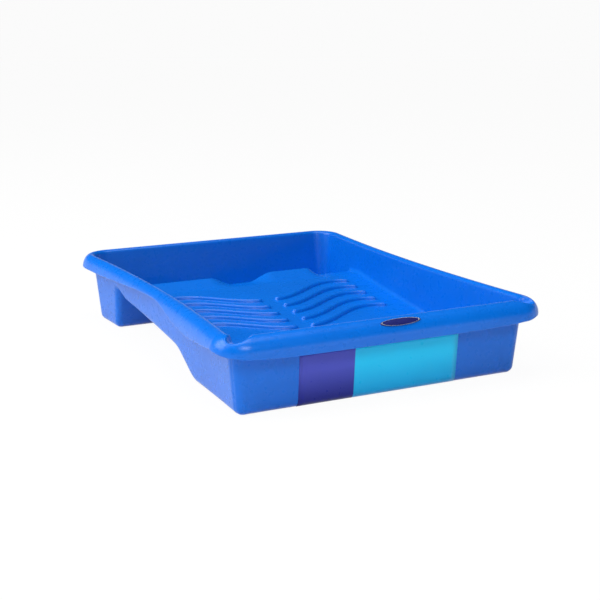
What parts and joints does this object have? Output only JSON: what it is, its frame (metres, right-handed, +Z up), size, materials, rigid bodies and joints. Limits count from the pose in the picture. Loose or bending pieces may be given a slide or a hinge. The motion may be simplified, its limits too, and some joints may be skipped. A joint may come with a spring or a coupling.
{
  "type": "paint roller tray",
  "caption": "Moulded paint roller tray: deep front well, ribbed ramp rising to low lips, shallow rear trough on a foot, rolled rim with corner pour spouts, front label and rim badge.",
  "frame": {"origin": "bottom centre of the tray's bounding box, on the plane that the well and the rear foot stand on", "axes": "+Y from the deep paint well at the front to the trough at the back, +Z up, +X to the right seen from the front"},
  "size_m": [0.3102, 0.3985, 0.0686],
  "materials": {
    "tray_plastic": "satin",
    "label_film": "satin",
    "badge_plastic": "gloss"
  },
  "bodies": {
    "root": {"tray_body": "tray_plastic", "front_label": "label_film", "rim_badge": "badge_plastic"}
  },
  "joints": []
}
